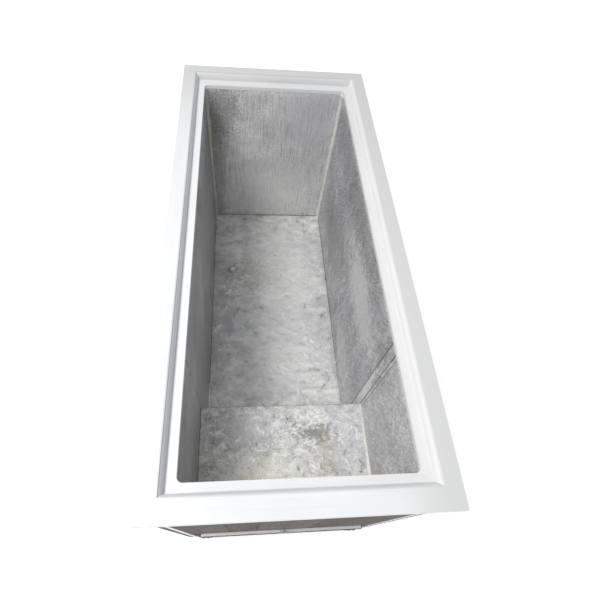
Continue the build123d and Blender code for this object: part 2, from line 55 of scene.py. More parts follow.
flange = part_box("liner_far")[1].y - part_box("liner_floor")[1].y
case_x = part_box("side_boards_right")[1].x
case_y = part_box("far_end_boards")[1].y
case_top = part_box("side_boards_right")[1].z
door_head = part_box("near_end_boards")[0].z
deck_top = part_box("deck_board_left")[1].z
drain_y = (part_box("drain_strainer")[0].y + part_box("drain_strainer")[1].y) / 2

LEFTWARDS = (-1, 0, 0)
RIGHTWARDS = (1, 0, 0)
NEARWARDS = (0, -1, 0)
FARWARDS = (0, 1, 0)
UPWARDS = (0, 0, 1)

SHEET = 0.001
RELIEF_FULL = 0.0013  # a dent this high or deep counts as 1 in the relief attribute
DEEPEST = 0.0008  # no dent goes further than this behind the flat sheet
CALM_EDGE = 0.018  # over this width at its edges, a sheet's dents and swells fade to nothing
BOARDS_ALONG_SIDE = 18
BOARDS_ACROSS_END = 7
BOARDS_OVER_DOORS = 6


# ---------------------------------------------------------------- shader helpers
SURFACE_IOR = 1.45


def tone(red, green, blue):
    """An 8-bit colour as the linear colour that a shader takes."""
    return [((c / 255 + 0.055) / 1.055) ** 2.4 for c in (red, green, blue)] + [1]


class Shader:
    """A material being made. Each call adds one node and returns its output."""

    def __init__(self, name, metallic):
        self.material = bpy.data.materials.new(name)
        self.material.use_nodes = True
        self.tree = self.material.node_tree
        self.surface = self.tree.nodes["Principled BSDF"]
        self.surface.inputs["Metallic"].default_value = metallic
        self.surface.inputs["IOR"].default_value = SURFACE_IOR
        self.place = self.add("ShaderNodeTexCoord").outputs["Object"]

    def add(self, kind, **settings):
        node = self.tree.nodes.new(kind)
        for key, value in settings.items():
            setattr(node, key, value)
        return node

    def feed(self, socket, value):
        if isinstance(value, bpy.types.NodeSocket):
            self.tree.links.new(value, socket)
        else:
            socket.default_value = value

    def scaled(self, scale, move=(0, 0, 0)):
        node = self.add("ShaderNodeMapping")
        self.feed(node.inputs["Vector"], self.place)
        node.inputs["Location"].default_value = move
        node.inputs["Scale"].default_value = scale
        return node.outputs["Vector"]

    def strokes(self, size, turn):
        """Coordinates for marks of that size in metres, turned about X."""
        node = self.add("ShaderNodeMapping", vector_type="TEXTURE")
        self.feed(node.inputs["Vector"], self.place)
        node.inputs["Rotation"].default_value = (turn, 0, 0)
        node.inputs["Scale"].default_value = size
        return node.outputs["Vector"]

    def noise(self, vector, scale=1.0, detail=4.0, roughness=0.6, distortion=0.0):
        node = self.add("ShaderNodeTexNoise")
        self.feed(node.inputs["Vector"], vector)
        node.inputs["Scale"].default_value = scale
        node.inputs["Detail"].default_value = detail
        node.inputs["Roughness"].default_value = roughness
        node.inputs["Distortion"].default_value = distortion
        return node.outputs["Fac"]

    def cells(self, vector, scale, feature="F1"):
        node = self.add("ShaderNodeTexVoronoi", feature=feature)
        self.feed(node.inputs["Vector"], vector)
        node.inputs["Scale"].default_value = scale
        return node

    def math(self, operation, first, second=0.0):
        node = self.add("ShaderNodeMath", operation=operation)
        self.feed(node.inputs[0], first)
        self.feed(node.inputs[1], second)
        return node.outputs[0]

    def total(self, base, *terms):
        """base plus each (value, gain) pair, with the value counted from its middle, 0.5."""
        for value, gain in terms:
            centred = self.math("SUBTRACT", value, 0.5)
            base = self.math("ADD", base, self.math("MULTIPLY", centred, gain))
        return base

    def remap(self, value, low, high, start=0.0, end=1.0):
        node = self.add("ShaderNodeMapRange", interpolation_type="SMOOTHSTEP")
        self.feed(node.inputs["Value"], value)
        node.inputs["From Min"].default_value = low
        node.inputs["From Max"].default_value = high
        node.inputs["To Min"].default_value = start
        node.inputs["To Max"].default_value = end
        return node.outputs["Result"]

    def blend(self, factor, first, second):
        node = self.add("ShaderNodeMix", data_type="RGBA", blend_type="MIX")
        self.feed(node.inputs[0], factor)
        self.feed(node.inputs[6], first)
        self.feed(node.inputs[7], second)
        return node.outputs[2]

    def axis(self, name):
        node = self.add("ShaderNodeSeparateXYZ")
        self.feed(node.inputs[0], self.place)
        return node.outputs[name]

    def patch(self, centre, size, ragged, grain):
        """1 near centre, falling to 0 at an oval edge that noise makes ragged."""
        move = [-c / s for c, s in zip(centre, size)]
        node = self.add("ShaderNodeVectorMath", operation="LENGTH")
        self.feed(node.inputs[0], self.scaled([1 / s for s in size], move))
        wobble = self.noise(self.place, grain, 5, 0.7)
        return self.remap(self.total(node.outputs["Value"], (wobble, ragged)), 1.0, 0.35)

    def line(self, name, position, width):
        """1 on the plane where that axis has that position, falling to 0 at about width from it."""
        away = self.math("ABSOLUTE", self.math("SUBTRACT", self.axis(name), position))
        wobble = self.noise(self.place, 60, 3, 0.7)
        return self.remap(self.total(away, (wobble, width)), width, width * 0.2)

    def finish(self, colour, roughness, height, depth, strength=0.6):
        self.feed(self.surface.inputs["Base Color"], colour)
        self.feed(self.surface.inputs["Roughness"], roughness)
        node = self.add("ShaderNodeBump")
        node.inputs["Strength"].default_value = strength
        node.inputs["Distance"].default_value = depth
        self.feed(node.inputs["Height"], height)
        self.feed(self.surface.inputs["Normal"], node.outputs["Normal"])
        return self.material


# ---------------------------------------------------------------- materials
ZINC_METALLIC = 0.25
GRIT_SCALE = 230
FLECK_SCALE = 210
PIT_SCALE = 150
SCRATCH_SIZE = (0.003, 0.032, 0.0028)
SCRATCH_TURN = -0.8
# How much lighter the ridges and darker the dents are made: partly wear, partly painted highlight and shade.
RELIEF_LIGHT_AND_SHADOW = 0.22


def zinc(name, tones, streaks, streak_gain, grit_gain, patches=(), lines=(), spotty=0.0, brush=0.0):
    """Old zinc sheet: clouded, streaked the way it was wiped, gritty, darker in its dents and lighter on its
    ridges, partly grime and wear, partly painted shade and painted highlight.

    tones is its dark and its light. streaks is the streaks' repeats per metre along each axis.
    patches are stains, painted shade and painted light, each (centre, size, colour, amount, raggedness,
    grain of the ragged edge).
    lines are dark seams, each (axis, position, width). spotty is how far the flecks bunch together.
    brush is the strength of short slanting scratches."""
    s = Shader(name, metallic=ZINC_METALLIC)
    cloud = s.noise(s.place, 5.5, 5, 0.62, 0.5)
    blotch = s.noise(s.place, 28, 4, 0.65, 0.3)
    streak = s.noise(s.scaled(streaks), 1, 4, 0.68)
    grit = s.noise(s.place, GRIT_SCALE, 3, 0.8)
    relief = s.add("ShaderNodeAttribute", attribute_name="relief").outputs["Fac"]
    level = s.total(0.5, (cloud, 0.6), (blotch, 0.5), (streak, streak_gain), (grit, grit_gain))
    if brush:
        scratch = s.noise(s.strokes(SCRATCH_SIZE, SCRATCH_TURN), 1, 3, 0.7)
        level = s.total(level, (scratch, brush))
    level = s.math("ADD", level, s.math("MULTIPLY", relief, RELIEF_LIGHT_AND_SHADOW))
    colour = s.blend(s.remap(level, 0.0, 1.0), *tones)
    tint = s.remap(s.noise(s.scaled((3, 3, 3), (4, 1, 7)), 1.4, 4, 0.6), 0.5, 0.68)
    colour = s.blend(s.math("MULTIPLY", tint, 0.35), colour, ZINC_BLUE)
    for centre, size, stain, amount, ragged, grain in patches:
        colour = s.blend(s.math("MULTIPLY", s.patch(centre, size, ragged, grain), amount), colour, stain)
    if spotty:
        fleck = s.noise(s.place, FLECK_SCALE, 3, 0.6)
        where = s.noise(s.scaled((1, 1, 1), (3, 5, 2)), 16, 3, 0.6)
        mark = s.remap(s.total(fleck, (where, spotty)), 0.66, 0.74)
        colour = s.blend(mark, colour, SPLASH_AND_HIGHLIGHT_WHITE)
        pit = s.noise(s.scaled((1, 1, 1), (8, 2, 6)), PIT_SCALE, 3, 0.6)
        colour = s.blend(s.remap(pit, 0.72, 0.80), colour, GRIME_AND_HOLLOW_SHADOW)
    # Ridges whitened and dents darkened: partly wear and grime, partly painted highlight and painted shade.
    colour = s.blend(s.remap(relief, 0.6, 1.4, 0.0, 0.85), colour, SPLASH_AND_HIGHLIGHT_WHITE)
    colour = s.blend(s.remap(relief, -0.6, -1.5, 0.0, 0.38), colour, GRIME_AND_HOLLOW_SHADOW)
    for axis, position, width in lines:
        colour = s.blend(s.line(axis, position, width), colour, GRIME_AND_HOLLOW_SHADOW)
    roughness = s.total(0.40, (streak, 0.25), (blotch, 0.25))
    height = s.total(0.5, (streak, streak_gain), (grit, grit_gain * 1.5), (blotch, 0.4))
    return s.finish(colour, roughness, height, 0.0012, 0.8)


def white_paint(name, brush, tones, far_right_shade=False):
    """Brushed gloss paint: faint strokes along the board and thin dirt.

    tones is its dark and its light. With its last argument set, it greys towards the right and far sides:
    painted shade where the light falls off."""
    s = Shader(name, metallic=0.0)
    stroke = s.noise(s.scaled(brush), 1, 3, 0.6)
    cloud = s.noise(s.place, 4, 4, 0.6)
    level = s.total(0.5, (stroke, 0.5), (cloud, 0.9))
    colour = s.blend(s.remap(level, 0.1, 0.9), *tones)
    # Painted shade: greyer towards the right and far sides, where the light falls off.
    if far_right_shade:
        rightwards = s.remap(s.axis("X"), 0.16, 0.28)
        farwards = s.remap(s.axis("Y"), 0.35, 0.68)
        colour = s.blend(s.math("MAXIMUM", rightwards, farwards), colour, PAINT_SHADOWED)
    dirt = s.remap(s.noise(s.place, 55, 6, 0.75), 0.66, 0.78)
    colour = s.blend(s.math("MULTIPLY", dirt, 0.25), colour, PAINT_DIRT)
    roughness = s.total(0.3, (stroke, 0.2), (cloud, 0.15))
    height = s.total(0.5, (stroke, 0.8), (s.noise(s.place, 60, 3, 0.5), 0.5))
    return s.finish(colour, roughness, height, 0.0004, 0.4)


def board_wood(name, grain, across, pitch, first, dark, light, wear):
    """Boards of wood: grain along each one, each with its own tone, grime low down.

    grain is the fibres' repeats per metre along each axis. The boards follow one another along the axis
    that across names, pitch apart, from first. wear is how strong the grime is."""
    s = Shader(name, metallic=0.0)
    number = s.math("FLOOR", s.math("DIVIDE", s.math("SUBTRACT", s.axis(across), first), pitch))
    own = s.add("ShaderNodeTexWhiteNoise", noise_dimensions="1D")
    s.feed(own.inputs["W"], number)
    shift = s.add("ShaderNodeVectorMath", operation="MULTIPLY_ADD")
    s.feed(shift.inputs[0], own.outputs["Color"])
    shift.inputs[1].default_value = (9, 9, 9)
    s.feed(shift.inputs[2], s.scaled(grain))
    fibre = s.noise(shift.outputs["Vector"], 1, 6, 0.7, 0.6)
    pore = s.noise(s.scaled([g * 4 for g in grain]), 1, 3, 0.7)
    patchy = s.noise(s.place, 7, 5, 0.65)
    level = s.total(0.5, (fibre, 1.3), (pore, 1.0), (patchy, 0.5), (own.outputs["Value"], 0.18))
    colour = s.blend(s.remap(level, 0.0, 1.0), dark, light)
    low = s.remap(s.total(s.axis("Z"), (patchy, 0.12)), 0.16, 0.0)
    colour = s.blend(s.math("MULTIPLY", low, wear), colour, GRIME_AND_HOLLOW_SHADOW)
    s.surface.inputs["Specular IOR Level"].default_value = 0.1
    height = s.total(0.5, (fibre, 1.4), (pore, 0.8))
    return s.finish(colour, s.total(0.85, (fibre, 0.2)), height, 0.0014)


def cast_metal(name, base, tarnish, metallic, roughness, spread):
    """Brass, copper or iron with clouded tarnish and a fine grain."""
    s = Shader(name, metallic=metallic)
    cloud = s.noise(s.place, 45, 6, 0.7, 0.5)
    grain = s.noise(s.place, 700, 2, 0.6)
    mask = s.remap(s.total(cloud, (grain, 0.3)), 0.62 - spread, 0.62)
    colour = s.blend(mask, base, tarnish)
    height = s.total(0.5, (cloud, 0.6), (grain, 0.5))
    return s.finish(colour, s.total(roughness, (cloud, 0.35)), height, 0.0003)


def galvanised(name, metallic, dark, light):
    """Zinc-coated steel: crystal flowers of slightly different greys, with dull runs."""
    s = Shader(name, metallic)
    crystal = s.cells(s.place, 85).outputs["Color"]
    grey = s.add("ShaderNodeRGBToBW")
    s.feed(grey.inputs[0], crystal)
    cloud = s.noise(s.place, 12, 5, 0.65)
    level = s.total(0.5, (grey.outputs[0], 0.6), (cloud, 0.7))
    colour = s.blend(s.remap(level, 0.1, 0.9), dark, light)
    stain = s.remap(s.noise(s.place, 30, 5, 0.7), 0.64, 0.74)
    colour = s.blend(s.math("MULTIPLY", stain, 0.5), colour, CREAM_STAIN)
    return s.finish(colour, s.total(0.38, (grey.outputs[0], 0.2), (cloud, 0.2)), level, 0.0003)


def cork(name):
    """Pressed cork granules, each with its own brown."""
    s = Shader(name, metallic=0.0)
    granule = s.cells(s.place, 170)
    grey = s.add("ShaderNodeRGBToBW")
    s.feed(grey.inputs[0], granule.outputs["Color"])
    edge = s.remap(s.cells(s.place, 170, "DISTANCE_TO_EDGE").outputs["Distance"], 0.0, 0.12)
    colour = s.blend(grey.outputs[0], CORK_DARK, CORK_LIGHT)
    colour = s.blend(edge, GRIME_AND_HOLLOW_SHADOW, colour)
    return s.finish(colour, s.total(0.85, (grey.outputs[0], 0.1)), edge, 0.0012)


def solder(name, light, dark, metallic):
    """Wiped solder: lumpy, with a dull skin and bright flecks."""
    s = Shader(name, metallic=metallic)
    lump = s.noise(s.place, 70, 5, 0.7, 0.4)
    fleck = s.noise(s.place, 420, 2, 0.7)
    colour = s.blend(s.remap(s.total(lump, (fleck, 0.5)), 0.3, 0.7), dark, light)
    return s.finish(colour, s.total(0.42, (lump, 0.3)), s.total(0.5, (lump, 1.0), (fleck, 0.4)), 0.0008)


# The sheets are one kind of zinc and the boards have one white paint. Their tones differ from piece to
# piece because they hold some of one room's light and shade. For use in another light, even them out.
FLOOR_TONES = (tone(172, 173, 172), tone(253, 253, 251))
STEP_TONES = (tone(134, 134, 133), tone(248, 248, 245))
FAR_TONES = (tone(152, 153, 153), tone(254, 254, 253))
RIGHT_TONES = (tone(98, 98, 102), tone(216, 216, 221))
NEAR_RIGHT_TONES = (tone(126, 126, 128), tone(236, 236, 238))
LEFT_TONES = (tone(80, 81, 81), tone(170, 170, 170))
ZINC_BLUE = tone(194, 195, 204)
# White of solder splashes, also of the painted highlights on the zinc's ridges.
SPLASH_AND_HIGHLIGHT_WHITE = tone(240, 239, 233)
# Dark of grime, seams and pits, also of the painted shade in the zinc's dents.
GRIME_AND_HOLLOW_SHADOW = tone(48, 44, 40)
BROWN = tone(146, 138, 122)
BROWN_DARK = tone(104, 96, 84)
CREAM_STAIN = tone(196, 189, 160)
CREAM_PALE = tone(236, 232, 214)
# Painted shade and painted light: grey and pale patches where the zinc lies in shade or in strong light.
PAINTED_SHADE = tone(112, 112, 112)
PAINTED_LIGHT = tone(240, 240, 238)
PAINT_DIRT = tone(196, 194, 184)
# Grey of the painted shade on the deck's right and far sides.
PAINT_SHADOWED = tone(204, 206, 205)
GALVANISED_DARK = tone(150, 154, 162)
GALVANISED_LIGHT = tone(222, 225, 232)
CORK_DARK = tone(92, 58, 32)
CORK_LIGHT = tone(168, 122, 76)

WALL_STREAKS = (380, 380, 11)  # repeats per metre: fine across, long up and down
FLAT_STREAKS = (120, 70, 120)

far_zinc = zinc(
    "zinc_far", FAR_TONES, WALL_STREAKS, 1.5, 1.6,
    # The two grey patches on the left are painted shade; the pale patch low in the middle is painted light.
    patches=[
        ((-0.19, far_y, 0.66), (0.085, 1, 0.14), PAINTED_SHADE, 0.65, 2.8, 110),
        ((-0.225, far_y, 0.40), (0.06, 1, 0.45), PAINTED_SHADE, 0.62, 0.6, 24),
        ((0.13, far_y, 0.66), (0.16, 1, 0.20), ZINC_BLUE, 0.5, 1.6, 60),
        ((0.0, far_y, 0.28), (0.26, 1, 0.20), PAINTED_LIGHT, 0.35, 1.0, 30),
    ],
    lines=[("Z", floor_z, 0.0022)],
    spotty=0.5,
)
floor_zinc = zinc(
    "zinc_floor", FLOOR_TONES, FLAT_STREAKS, 0.35, 1.1,
    # The grey patch along the left is painted shade; the two pale patches are painted light; the brown one
    # is a stain.
    patches=[
        ((-0.21, 0.15, floor_z), (0.08, 0.55, 1), PAINTED_SHADE, 0.42, 1.0, 24),
        ((-0.07, 0.28, floor_z), (0.13, 0.10, 1), BROWN, 0.6, 3.2, 75),
        ((0.05, 0.25, floor_z), (0.19, 0.46, 1), PAINTED_LIGHT, 0.5, 1.2, 30),
        ((-0.03, 0.07, floor_z), (0.13, 0.07, 1), ZINC_BLUE, 0.3, 1.8, 50),
        ((0.02, -0.22, floor_z), (0.10, 0.07, 1), ZINC_BLUE, 0.3, 1.8, 50),
        ((0.04, -0.12, floor_z), (0.15, 0.12, 1), PAINTED_LIGHT, 0.6, 2.0, 50),
    ],
    lines=[("Y", far_y, 0.0022), ("X", -inside_x, 0.0035), ("X", inside_x, 0.003)],
    spotty=0.6,
)
step_zinc = zinc(
    "zinc_step", STEP_TONES, FLAT_STREAKS, 0.4, 1.4,
    # The grey patch along the left edge is painted shade; the brown ones are stains.
    patches=[
        ((-0.10, -0.44, step_z), (0.11, 0.05, 1), ZINC_BLUE, 0.6, 1.4, 40),
        ((0.17, -0.47, step_z), (0.07, 0.12, 1), ZINC_BLUE, 0.5, 1.2, 40),
        ((0.098, -0.455, step_z), (0.075, 0.038, 1), BROWN_DARK, 0.7, 3.2, 75),
        ((0.118, -0.525, step_z), (0.050, 0.070, 1), BROWN, 0.5, 3.0, 70),
        ((-0.08, -0.57, step_z), (0.20, 0.09, 1), CREAM_PALE, 0.4, 3.2, 90),
        ((-0.215, -0.50, step_z), (0.035, 0.20, 1), PAINTED_SHADE, 0.35, 1.0, 30),
    ],
    lines=[("X", -inside_x, 0.004), ("Y", step_y, 0.0012)],
    spotty=0.9,
)
right_zinc = zinc(
    "zinc_right", RIGHT_TONES, (300, 300, 16), 0.8, 1.0,
    # The grey patches towards the far end are painted shade; the pale patches, further near, are painted
    # light.
    patches=[
        ((inside_x, 0.25, 0.68), (1, 0.60, 0.10), PAINTED_SHADE, 0.45, 1.8, 50),
        ((inside_x, -0.10, 0.56), (1, 0.28, 0.11), PAINTED_LIGHT, 0.6, 2.2, 60),
        ((inside_x, 0.34, 0.36), (1, 0.26, 0.16), PAINTED_SHADE, 0.55, 1.4, 40),
        ((inside_x, -0.15, 0.28), (1, 0.20, 0.10), PAINTED_LIGHT, 0.3, 1.8, 50),
    ],
    lines=[("Y", step_y, 0.0034), ("Y", lap_y, 0.0034), ("Z", floor_z, 0.003)],
    spotty=0.6,
    brush=1.6,
)
near_right_zinc = zinc(
    "zinc_near_right", NEAR_RIGHT_TONES, (200, 200, 90), 0.7, 1.6,
    patches=[((inside_x, -0.60, 0.44), (1, 0.10, 0.08), BROWN, 0.4, 1.4, 40)],
    lines=[("Y", step_y, 0.002), ("Y", step_y - 0.012, 0.0016), ("Z", step_z, 0.002)],
    spotty=0.8,
    brush=1.0,
)
left_zinc = zinc(
    "zinc_left", LEFT_TONES, (260, 260, 6), 0.8, 0.5,
    lines=[("Y", step_y, 0.0022), ("Z", floor_z, 0.003)],
)
riser_zinc = zinc(
    "zinc_riser", FAR_TONES, WALL_STREAKS, 0.8, 0.4,
    lines=[("Z", floor_z, 0.002)],
    spotty=0.3,
)
lap_zinc = zinc(
    "zinc_lap", RIGHT_TONES, (90, 90, 20), 0.7, 0.7,
    # The pale patch is painted light.
    patches=[((inside_x, -0.355, 0.50), (1, 0.03, 0.16), PAINTED_LIGHT, 0.7, 1.8, 60)],
    lines=[("Y", step_y, 0.0034), ("Y", lap_y, 0.0034)],
    spotty=1.2,
)
bright_solder = solder("solder_bright", tone(232, 232, 226), tone(204, 204, 198), 0.1)
dull_solder = solder("solder_dull", tone(190, 189, 174), tone(150, 149, 136), 0.1)
dark_seam = solder("seam_dark", tone(112, 106, 94), tone(52, 48, 42), 0.2)
splash_solder = solder("solder_splash", tone(240, 240, 236), tone(190, 190, 186), 0.35)

ALONG = (150, 5, 150)  # repeats per metre of the brush strokes
ACROSS = (5, 150, 150)


def paint_tones(level, blue=1):
    """Dark and light of a white that level grey stands for; blue is how cold it is."""
    return (
        tone(level - 6, level - 6 + 2 * blue, level - 6 + 5 * blue),
        tone(level + 6, level + 6 + 2 * blue, level + 6 + 5 * blue),
    )


# These are one white paint. Their levels differ by piece as painted light and shade: the left and end coves
# are painted darker, the right cove lighter.
deck_along = white_paint("paint_deck_along", ALONG, paint_tones(220), far_right_shade=True)
deck_across = white_paint("paint_deck_across", ACROSS, paint_tones(222), far_right_shade=True)
ledge_paint_left = white_paint("paint_ledge_left", ALONG, paint_tones(225))
ledge_paint_right = white_paint("paint_ledge_right", ALONG, paint_tones(222, blue=0))
ledge_paint_ends = white_paint("paint_ledge_ends", ACROSS, paint_tones(217))
cove_paint_left = white_paint("paint_cove_left", ALONG, paint_tones(194))
cove_paint_right = white_paint("paint_cove_right", ALONG, paint_tones(227, blue=0))
cove_paint_ends = white_paint("paint_cove_ends", ACROSS, paint_tones(199))

WOOD_DARK = tone(44, 39, 37)
WOOD_LIGHT = tone(110, 102, 98)
UPRIGHT_GRAIN = (330, 330, 6)
WOOD_WEAR = 0.6


def casing_wood(name, across, half, count):
    """Weathered upright boards: count of them from -half to half along the axis that across names."""
    return board_wood(name, UPRIGHT_GRAIN, across, 2 * half / count, -half, WOOD_DARK, WOOD_LIGHT, WOOD_WEAR)


far_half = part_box("far_end_boards")[1].x
near_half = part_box("near_end_boards")[1].x
side_wood = casing_wood("boards_side", "Y", case_y, BOARDS_ALONG_SIDE)
end_wood = casing_wood("boards_end", "X", far_half, BOARDS_ACROSS_END)
near_wood = casing_wood("boards_near", "X", near_half, BOARDS_OVER_DOORS)
rail_wood = board_wood("rail_across", (5, 130, 130), "Z", 0.2, 0.0, WOOD_DARK, WOOD_LIGHT, WOOD_WEAR)
PINE_DARK = tone(150, 112, 70)
PINE_LIGHT = tone(206, 170, 120)
pine_along = board_wood("pine_along", (90, 4, 90), "X", 0.0786, -0.275, PINE_DARK, PINE_LIGHT, 0.5)
pine_across = board_wood("pine_across", (4, 90, 90), "Y", 0.3, 0.0, PINE_DARK, PINE_LIGHT, 0.3)
pine_upright = board_wood("pine_upright", (90, 90, 4), "X", 0.12, 0.0, PINE_DARK, PINE_LIGHT, 0.5)

brass = cast_metal("brass", tone(196, 158, 88), tone(104, 84, 52), 1.0, 0.34, 0.2)
copper = cast_metal("copper", tone(186, 116, 84), tone(98, 74, 60), 1.0, 0.36, 0.25)
iron = cast_metal("hinge_iron", tone(80, 78, 76), tone(78, 64, 54), 0.7, 0.55, 0.14)
spangle = galvanised("galvanised", 0.7, GALVANISED_DARK, GALVANISED_LIGHT)
# A whiter, non-metallic copy of the galvanised for the door caps: painted highlight on their lit top edges.
highlit_spangle = galvanised("galvanised_painted_highlight", 0.0, tone(240, 241, 245), tone(252, 252, 254))
cork_board = cork("cork")

looks = {
    deck_along: ["deck_board_left", "deck_board_right"],
    deck_across: ["deck_board_near", "deck_board_far"],
    ledge_paint_left: ["ledge_left"],
    ledge_paint_right: ["ledge_right"],
    ledge_paint_ends: ["ledge_near", "ledge_far"],
    cove_paint_left: ["cove_left"],
    cove_paint_right: ["cove_right"],
    cove_paint_ends: ["cove_near", "cove_far"],
    side_wood: ["side_boards_left", "side_boards_right"],
    end_wood: ["far_end_boards"],
    near_wood: ["near_end_boards", "near_end_stiles", "door_left_front", "door_right_front"],
    rail_wood: ["near_bottom_rail"],
    pine_along: ["top_rails_side", "base_runners", "bottom_boards", "compartment_ceiling"],
    pine_across: ["top_rails_end"],
    pine_upright: [
        "corner_posts", "compartment_back", "compartment_linings", "door_left_block", "door_right_block"
    ],
    cork_board: ["cork_walls", "cork_floor", "cork_step"],
    highlit_spangle: ["door_left_cap", "door_right_cap"],
    spangle: ["drip_pan", "turn_button", "corner_strips"],
    brass: ["drain_cock_body", "drain_cock_lever", "drain_strainer"],
    copper: ["drain_pipe"],
    iron: [
        "hinge_plates", "hinge_pins", "hinge_screws", "turn_button_screw", "door_left_leaves",
        "door_left_screws", "door_right_leaves", "door_right_screws",
    ],
}
for look, members in looks.items():
    for member in members:
        mesh = nodes[member].data
        mesh.materials.clear()
        mesh.materials.append(look)


# ---------------------------------------------------------------- heights of the dented zinc
CELLS = 64  # the random values repeat after this many cells


def value_noise(seed, u, v, cell_u, cell_v):
    """Smooth random heights from -1 to 1, with one random value for each cell_u by cell_v metres."""
    table = np.random.default_rng(seed).uniform(-1, 1, (CELLS, CELLS))
    a = u / cell_u
    b = v / cell_v
    i = np.floor(a).astype(int)
    j = np.floor(b).astype(int)
    fa = (a - i) ** 2 * (3 - 2 * (a - i))
    fb = (b - j) ** 2 * (3 - 2 * (b - j))
    first = table[i % CELLS, j % CELLS] * (1 - fa) + table[(i + 1) % CELLS, j % CELLS] * fa
    above = (j + 1) % CELLS
    second = table[i % CELLS, above] * (1 - fa) + table[(i + 1) % CELLS, above] * fa
    return first * (1 - fb) + second * fb


def dents(seed, u, v, u_range, v_range, count, size, height, turn_range=(0, math.pi)):
    """Random oblong dents and ridges, slightly curved. size is (length, width)."""
    random = np.random.default_rng(seed)
    result = np.zeros_like(u)
    for _ in range(count):
        du = u - random.uniform(*u_range)
        dv = v - random.uniform(*v_range)
        turn = random.uniform(*turn_range)
        long = size[0] * random.uniform(0.4, 1.0)
        wide = size[1] * random.uniform(0.5, 1.0)
        deep = height * random.uniform(-0.7, 1.0)
        along = du * math.cos(turn) + dv * math.sin(turn)
        aside = dv * math.cos(turn) - du * math.sin(turn) + random.uniform(-14, 14) * along**2
        result += deep * np.exp(-((along / long) ** 2) - (aside / wide) ** 2)
    return result


KNOB_X = -0.161  # a small knob stands up from the floor sheet here, with a ring pressed round it
KNOB_Y = 0.313


# Each height function gives a pair: the broad swells, and the small dents and ripples.
def floor_height(x, y):
    swell = 0.0020 * (1 + value_noise(3, x, y, 0.15, 0.18))
    ripple = 0.0010 * value_noise(4, x, y, 0.034, 0.022) + 0.0006 * value_noise(7, x, y, 0.017, 0.012)
    fine = 0.00045 * value_noise(5, x, y, 0.009, 0.007)
    marks = dents(6, x, y, (-0.22, 0.22), (-0.36, 0.60), 260, (0.020, 0.0036), 0.0026)
    from_knob = np.hypot(x - KNOB_X, y - KNOB_Y)
    knob = 0.006 * np.exp(-((from_knob / 0.008) ** 2))
    ring = -0.0015 * np.exp(-(((from_knob - 0.016) / 0.005) ** 2))
    return swell, ripple + fine + marks + knob + ring


def step_height(x, y):
    swell = 0.0014 * (1 + value_noise(13, x, y, 0.11, 0.09))
    ripple = 0.0009 * value_noise(14, x, y, 0.022, 0.015) + 0.0005 * value_noise(17, x, y, 0.012, 0.008)
    fine = 0.0005 * value_noise(15, x, y, 0.007, 0.005)
    marks = dents(16, x, y, (-0.22, 0.22), (-0.62, -0.39), 230, (0.013, 0.0028), 0.0026)
    return swell, ripple + fine + marks


def right_height(y, z):
    swell = 0.0034 * (1 + value_noise(23, y, z, 0.22, 0.26))
    ripple = 0.0005 * value_noise(24, y, z, 0.02, 0.09) + 0.0004 * value_noise(26, y, z, 0.009, 0.03)
    upright = (math.pi / 2 - 0.35, math.pi / 2 + 0.1)
    marks = dents(25, y, z, (-0.30, 0.60), (0.16, 0.55), 150, (0.05, 0.0032), 0.0014, upright)
    return swell, ripple + marks


def left_height(y, z):
    return 0.0016 * (1 + value_noise(33, y, z, 0.25, 0.3)), 0.0002 * value_noise(34, y, z, 0.02, 0.2)


def near_side_height(y, z):
    swell = 0.0010 * (1 + value_noise(43, y, z, 0.12, 0.12))
    fine = 0.0005 * value_noise(44, y, z, 0.010, 0.010)
    return swell, fine + dents(45, y, z, (-0.62, -0.38), (0.40, 0.72), 90, (0.012, 0.003), 0.0012)


def far_height(x, z):
    swell = 0.0012 * (1 + value_noise(53, x, z, 0.20, 0.25))
    fine = 0.0003 * value_noise(54, x, z, 0.008, 0.05)
    pits = dents(55, x, z, (-0.22, -0.10), (0.52, 0.72), 70, (0.006, 0.003), 0.0016)
    return swell, fine + pits


def lap_height(y, z):
    broad = 0.0007 * (1 + value_noise(63, y, z, 0.02, 0.05))
    return broad, 0.0008 * value_noise(64, y, z, 0.008, 0.009)


def smooth_edge(distance, margin):
    t = np.clip(distance / margin, 0, 1)
    return t * t * (3 - 2 * t)


# ---------------------------------------------------------------- mesh helpers
def add_piece(name, vertices, faces, material, slot, body="cabinet"):
    mesh = bpy.data.meshes.new(name)
    mesh.from_pydata([tuple(v) for v in vertices], [], [tuple(f) for f in faces])
    mesh.materials.append(material)
    mesh.polygons.foreach_set("use_smooth", [True] * len(mesh.polygons))
    mesh.update()
    piece = bpy.data.objects.new(name, mesh)
    bpy.context.scene.collection.objects.link(piece)
    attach(piece, body)
    return piece


